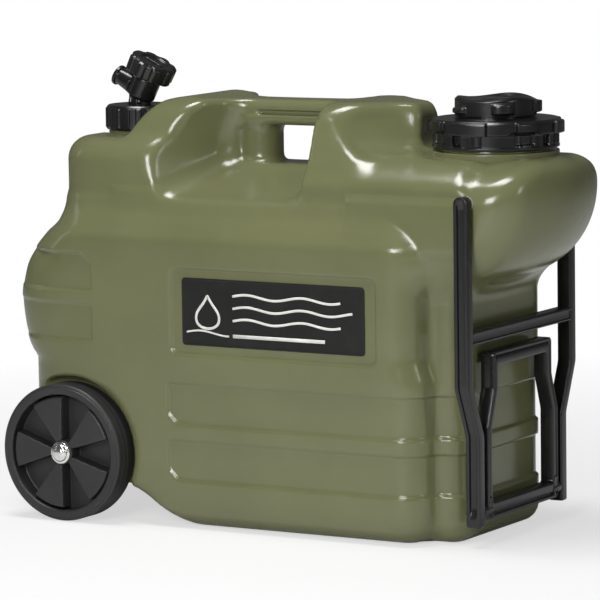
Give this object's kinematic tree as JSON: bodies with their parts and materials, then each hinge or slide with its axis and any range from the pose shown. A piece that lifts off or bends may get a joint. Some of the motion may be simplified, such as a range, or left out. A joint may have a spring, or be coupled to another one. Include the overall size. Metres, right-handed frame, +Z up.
{
  "type": "rolling water carrier",
  "caption": "Moulded water tank on wheels with a carry handle, a folding pull frame, a screw filler lid with a vent cap, and a swivel-knob tap.",
  "frame": {"origin": "on the floor, below the middle of the tank's length and width", "axes": "+X towards the filler and pull frame end, -Y towards the labelled front, +Z up"},
  "size_m": [0.537, 0.2586, 0.4203],
  "materials": {
    "shell": "glossy blow-moulded olive green",
    "black": "satin moulded black",
    "label": "satin black foil",
    "washer": "natural plastic",
    "rubber": "matt",
    "steel": "drawn rod",
    "zinc": "bright zinc"
  },
  "bodies": {
    "carrier": {"tank": "shell", "label_plate": "label", "axle": "steel", "hub_cap_front": "zinc", "hub_cap_rear": "zinc", "axle_washer_front": "steel", "axle_washer_rear": "steel", "pivot_pin_front": "black", "pivot_pin_rear": "black", "pull_washer_front": "washer", "pull_washer_rear": "washer"},
    "front_wheel": {"wheel_front": "black"},
    "rear_wheel": {"wheel_rear": "black"},
    "frame": {"pull_frame": "black", "grip_pin_front": "black", "grip_pin_rear": "black"},
    "grip": {"pull_grip": "black"},
    "lid_carriage": {"lid_gasket": "rubber"},
    "lid": {"filler_lid": "black"},
    "vent_carriage": {"vent_gasket": "rubber"},
    "vent": {"vent_cap": "black"},
    "tap": {"tap_body": "black", "tap_gasket": "rubber"},
    "collar": {"tap_collar": "black"},
    "knob": {"tap_knob": "black", "tap_stem": "washer", "stem_seal": "rubber"}
  },
  "joints": [
    {"name": "front_wheel_roll", "type": "hinge", "parent": "carrier", "child": "front_wheel", "pos_m": [-0.192, -0.11, 0.0625], "axis": [0, 1, 0], "continuous": true},
    {"name": "rear_wheel_roll", "type": "hinge", "parent": "carrier", "child": "rear_wheel", "pos_m": [-0.192, 0.11, 0.0625], "axis": [0, 1, 0], "continuous": true},
    {"name": "frame_swing", "type": "hinge", "parent": "carrier", "child": "frame", "pos_m": [0.2091, 0, 0.302], "axis": [0, -1, 0], "range_deg": [0, 150]},
    {"name": "grip_fold", "type": "hinge", "parent": "frame", "child": "grip", "pos_m": [0.2091, 0, 0.031], "axis": [0, 1, 0], "range_deg": [0, 180]},
    {"name": "lid_rise", "type": "slide", "parent": "carrier", "child": "lid_carriage", "axis": [0, 0, 1], "range_m": [0, 0.0076]},
    {"name": "lid_turn", "type": "hinge", "parent": "lid_carriage", "child": "lid", "pos_m": [0.1905, 0, 0.36], "axis": [0, 0, 1], "range_deg": [0, 450]},
    {"name": "vent_rise", "type": "slide", "parent": "lid", "child": "vent_carriage", "axis": [0, 0, 1], "range_m": [0, 0.0061]},
    {"name": "vent_turn", "type": "hinge", "parent": "vent_carriage", "child": "vent", "pos_m": [0.1905, 0, 0.38], "axis": [0, 0, 1], "range_deg": [0, 540]},
    {"name": "tap_rise", "type": "slide", "parent": "carrier", "child": "tap", "axis": [0, 0, 1], "range_m": [0, 0.0081]},
    {"name": "collar_turn", "type": "hinge", "parent": "tap", "child": "collar", "pos_m": [-0.179, 0, 0.36], "axis": [0, 0, 1], "range_deg": [0, 720]},
    {"name": "knob_turn", "type": "hinge", "parent": "tap", "child": "knob", "pos_m": [-0.1756, 0, 0.3838], "axis": [0.4493, 0, 0.8934], "range_deg": [0, 90]}
  ],
  "couplings": [
    {"joint": "lid_rise", "follows": "lid_turn", "m_per_rad": 0.000955},
    {"joint": "vent_rise", "follows": "vent_turn", "m_per_rad": 0.0006366},
    {"joint": "tap_rise", "follows": "collar_turn", "m_per_rad": 0.0006366}
  ]
}
